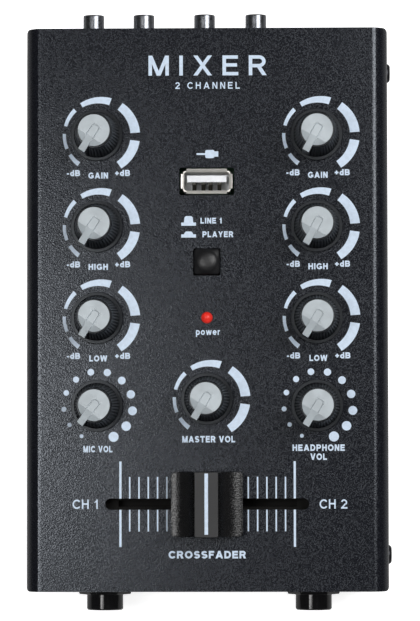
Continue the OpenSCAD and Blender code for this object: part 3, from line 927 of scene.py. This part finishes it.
def make_tongue(c):
    """The white insulator with its tongue, and the four spring contacts in front of it."""
    low, high = box_mm("usb_tongue")
    tongue_w, tongue_l, tongue_y, base_h = 11.1, 1.9, c.y + 0.75, 5.5
    contact_half, contact_x = 0.55, (-3.5, -1.0, 1.0, 3.5)
    base = block("base", (12.3, 4.9, base_h), (c.x, c.y, low.z + base_h / 2))
    tongue = block("tongue", (tongue_w, tongue_l, high.z - low.z),
                   (c.x, tongue_y, (low.z + high.z) / 2))
    bevel(tongue, 0.2, 3)
    piece = smooth(join("usb_insulator", [base, tongue]), 40)
    place(piece, WHITE_PLASTIC, "case", ["usb_tongue"])
    y0, base_z = tongue_y - tongue_l / 2, low.z + base_h
    spring = [(y0 + 0.02, high.z - 0.8), (y0 - 0.6, high.z - 0.9), (y0 - 2.1, high.z - 2.3),
              (y0 - 2.1, high.z - 2.6), (y0 - 0.2, base_z), (y0 + 0.02, base_z)]
    contacts = [loft("contact", [[(c.x + dx + s * contact_half, y, z) for y, z in spring]
                                 for s in (-1, 1)]) for dx in contact_x]
    # the contacts are coloured dark, as painted shade
    place(join("usb_contacts", contacts), CONTACT_SHADE_DARK, "case")


# ---- sockets, screws and feet ----

def socket_axis(obj, x, y, z, towards):
    """Turns a piece's +Z end to face the rear (towards = 1) or the front (-1), and moves it."""
    return move(obj, x, y, z, turn=(-90 * towards, "X"))


def make_line_sleeves():
    """Four threaded sleeves, each with a shoulder behind the rear wall."""
    low, high = box_mm("line_sleeves")
    axis_z = (low.z + high.z) / 2
    shoulder_r, shoulder_l, r, bore, length = 4.0, 1.0, 3.0, 1.8, high.y - low.y
    xs = [low.x + shoulder_r, low.x + shoulder_r + 14.4, low.x + shoulder_r + 31.8,
          high.x - shoulder_r]
    pitch, groove, thread_from, thread_end = 0.5, 0.04, 1.9, length - 0.7
    thread = []
    z = thread_from
    while z < thread_end:
        thread += [(r - groove, z), (r, z + pitch / 2)]
        z += pitch
    profile = [(bore, 0), (shoulder_r, 0), (shoulder_r, shoulder_l), (r, shoulder_l), (r, 1.7)]
    profile += thread + [(r - 0.05, length - 0.4), (r - 0.03, length - 0.12), (r - 0.15, length),
                         (bore + 0.25, length), (bore, length - 0.25)]
    sleeves = [socket_axis(lathe("sleeve", profile, 48, closed=True), x, low.y, axis_z, 1)
               for x in xs]
    piece = smooth(join("line_socket_sleeves", sleeves), 50)
    place(piece, NICKEL_PAINTED_DIM, "case", ["line_sleeves"])


def make_phone_socket(node, x):
    """A 6.35 mm socket: a nose through the front wall and its housing behind it."""
    low, high = box_mm(node)
    axis_z = centre_mm("jack_nuts").z
    nose, bore, behind_wall, gap = 5.15, 3.2, 1.0, 0.8
    length = COVER_LOW.y - low.y + behind_wall
    profile = [(bore, 0), (nose, 0), (nose, length - 0.35), (nose - 0.3, length),
               (bore + 0.9, length), (bore + 0.8, length - 0.25), (bore + 0.3, length - 0.25),
               (bore, length - 0.6)]
    root_y = low.y + length
    mouth = socket_axis(lathe("nose", profile, 72, closed=True), x, root_y, axis_z, -1)
    body = block("housing", (high.x - low.x, high.y - root_y - gap, high.z - low.z),
                 ((low.x + high.x) / 2, (high.y + root_y + gap) / 2, (low.z + high.z) / 2))
    tunnel = cylinder("bore", 0, 0, -40, 6, bore)
    move(tunnel, x, root_y, axis_z, turn=(90, "X"))
    bevel(cut(body, [tunnel]), 0.3, 2, 60)
    piece = smooth(join(node + "_socket", [mouth, body]), 40)
    place(piece, JACK_BLACK, "case", [node])


def make_nuts(xs):
    low, high = box_mm("jack_nuts")
    axis_z = (low.z + high.z) / 2
    corner_r, hole_r, thick = 7.5, 5.2, high.y - low.y
    nuts = []
    for x in xs:
        nut = prism("nut", circle(0, 0, corner_r, 6), 0, thick)
        cut(nut, [cylinder("cutter", 0, 0, -1, thick + 1, hole_r)])
        bevel(nut, 0.35, 3, 50)
        nuts.append(socket_axis(nut, x, high.y, axis_z, -1))
    piece = smooth(join("socket_nuts", nuts), 40)
    place(piece, JACK_BLACK, "case", ["jack_nuts"])


def make_screws():
    """Pan-head screws with a cross recess, two on each side wall."""
    low, high = box_mm("side_screws")
    z, mid_y = (low.z + high.z) / 2, (low.y + high.y) / 2
    head_r, head_h, round_r = 2.75, high.x - BODY_W / 2, 1.0
    shank_r, shank_l, slot_l, slot_w = 1.4, 5.9, 3.0, 0.6
    y_out = (high.y - low.y) / 2 - head_r
    dome = arc(head_r - round_r, head_h - round_r, round_r, 0, 78, 6)
    screws = []
    for side in (-1, 1):
        for y in (-y_out, y_out):
            head = lathe("head", [(0, 0), (head_r, 0)] + dome + [(0, head_h)], 48)
            cut(head, [block("slot", (w, l, 2), (0, 0, head_h - 0.1))
                       for w, l in ((slot_l, slot_w), (slot_w, slot_l))])
            screw = join("screw", [head, cylinder("shank", 0, 0, -shank_l, 0, shank_r, 24)])
            screws.append(move(screw, side * BODY_W / 2, y + mid_y, z, turn=(side * 90, "Y")))
    piece = smooth(join("cover_screws", screws), 40)
    place(piece, BLACK_ZINC, "case", ["side_screws"])


def make_feet():
    """Four dished rubber feet."""
    low, high = box_mm("rubber_feet")
    r, h, dish = 5.0, COVER_LOW.z - low.z, 0.35
    profile = [(0, dish), (2.2, dish), (2.6, 0), (r - 0.9, 0), (r - 0.5, 0.3), (r - 0.05, h - 0.5),
               (r - 0.1, h), (0, h)]
    feet = [move(lathe("foot", profile, 48), x, y, low.z)
            for x in (low.x + r, high.x - r) for y in (low.y + r, high.y - r)]
    piece = smooth(join("feet", feet), 40)
    place(piece, RUBBER, "case", ["rubber_feet"])


# ---- CAD nodes that keep their shape ----

def dress_cad():
    # The fader body takes a near-black colour, which is painted shade for the inside of the fader
    # slot.
    looks = {"bottom_chassis": CHASSIS_COAT, "main_board": BOARD_GREEN, "rear_board": BOARD_GREEN,
             "front_board": BOARD_GREEN, "board_pillars": BRASS, "board_screws": BRIGHT,
             "ribbon_cables": RIBBON, "fader_body": SLOT_SHADE_BLACK, "fader_lever": STEEL,
             "button_switch": INNER_BLACK, "line_jacks": INNER_BLACK, "dc_jack": INNER_BLACK}
    for c in CONTROLS:
        looks[c + "_pot"] = STEEL
        looks[c + "_shaft"] = ALUMINIUM
    for node, mat in looks.items():
        data = frame["nodes"][node].data
        data.materials.clear()
        data.materials.append(mat)


# ---- stage ----

def floor_slab(name, top, tone, near, far):
    """A wide slab with a light of its own that fades from near, around the object, to far."""
    size, thick = 3000, 1
    slab = block(name, (size, size, thick), (0, 0, top - thick / 2))
    mat = principled(name + "_white", (tone, tone, tone), 0.9)
    shader = mat.node_tree.nodes["Principled BSDF"]
    shader.inputs["Emission Color"].default_value = (1, 1, 1, 1)
    nodes, links = mat.node_tree.nodes, mat.node_tree.links
    tex = texture(mat, "ShaderNodeTexNoise", 3.0)
    distance = nodes.new("ShaderNodeVectorMath")
    distance.operation = "LENGTH"
    links.new(nodes["coords"].outputs["Object"], distance.inputs[0])
    fade = nodes.new("ShaderNodeMapRange")
    fade.interpolation_type = "SMOOTHSTEP"
    reach = {"From Min": 0.09, "From Max": 0.42, "To Min": near, "To Max": far}
    for key, value in reach.items():
        fade.inputs[key].default_value = value
    links.new(distance.outputs["Value"], fade.inputs["Value"])
    links.new(fade.outputs["Result"], shader.inputs["Emission Strength"])
    mottle(mat, tex, (tone - 0.01,) * 3, (tone + 0.01,) * 3)
    slab.data.materials.append(mat)
    return slab


def make_stage():
    """A pale floor, a dim slab under it that glossy pieces mirror in its place, and the lights."""
    floor = floor_slab("floor", -0.02, 0.9, 0.8, 0.22)
    floor.visible_glossy = False
    mirrored = floor_slab("mirrored_floor", -2.0, 0.05, 0.33, 0.1)
    mirrored.visible_camera = False

    def soft_box(name, place_at, width, height, watts, mirrored=True):
        light = bpy.data.lights.new(name, "AREA")
        light.shape = "RECTANGLE"
        light.size, light.size_y = width, height
        light.energy = watts
        obj = bpy.data.objects.new(name, light)
        scene.collection.objects.link(obj)
        obj.location = place_at
        towards = Vector((0, 0, PANEL_Z * MM)) - Vector(place_at)
        obj.rotation_euler = towards.to_track_quat("-Z", "Y").to_euler()
        obj.visible_glossy = mirrored

    soft_box("left_box", (-0.31, -0.03, 1.0), 0.20, 0.36, 2.5)
    soft_box("right_box", (0.55, 0.28, 1.0), 0.42, 0.7, 8.0)
    soft_box("fill", (0.0, 0.0, 1.3), 1.2, 1.2, 3.2, mirrored=False)
    world = bpy.data.worlds.new("studio")
    scene.world = world
    world.use_nodes = True
    world.node_tree.nodes["Background"].inputs["Color"].default_value = (1, 1, 1, 1)
    world.node_tree.nodes["Background"].inputs["Strength"].default_value = 0.07
    scene.view_settings.view_transform = "Standard"


def make_camera():
    """Almost straight down, a little to the right of and in front of the middle."""
    data = bpy.data.cameras.new("camera")
    data.sensor_width = 36
    data.lens = 187.8
    camera = bpy.data.objects.new("camera", data)
    scene.collection.objects.link(camera)
    camera.location = (0.02025, -0.03795, 0.945)
    camera.rotation_euler = tuple(math.radians(a) for a in (2.384, 1.238, -0.099))
    scene.camera = camera


make_camera()
make_stage()
dress_cad()
make_cover()
make_rings()
make_dots()
make_labels()
make_fader_scale()
make_icons()
for control in CONTROLS:
    make_knob(control)
make_fader()
make_button()
make_lamp()
make_usb()
make_line_sleeves()
phone_x = {node: centre_mm(node).x for node in ("mic_jack", "headphone_jack")}
for node, x in phone_x.items():
    make_phone_socket(node, x)
make_nuts(phone_x.values())
make_screws()
make_feet()
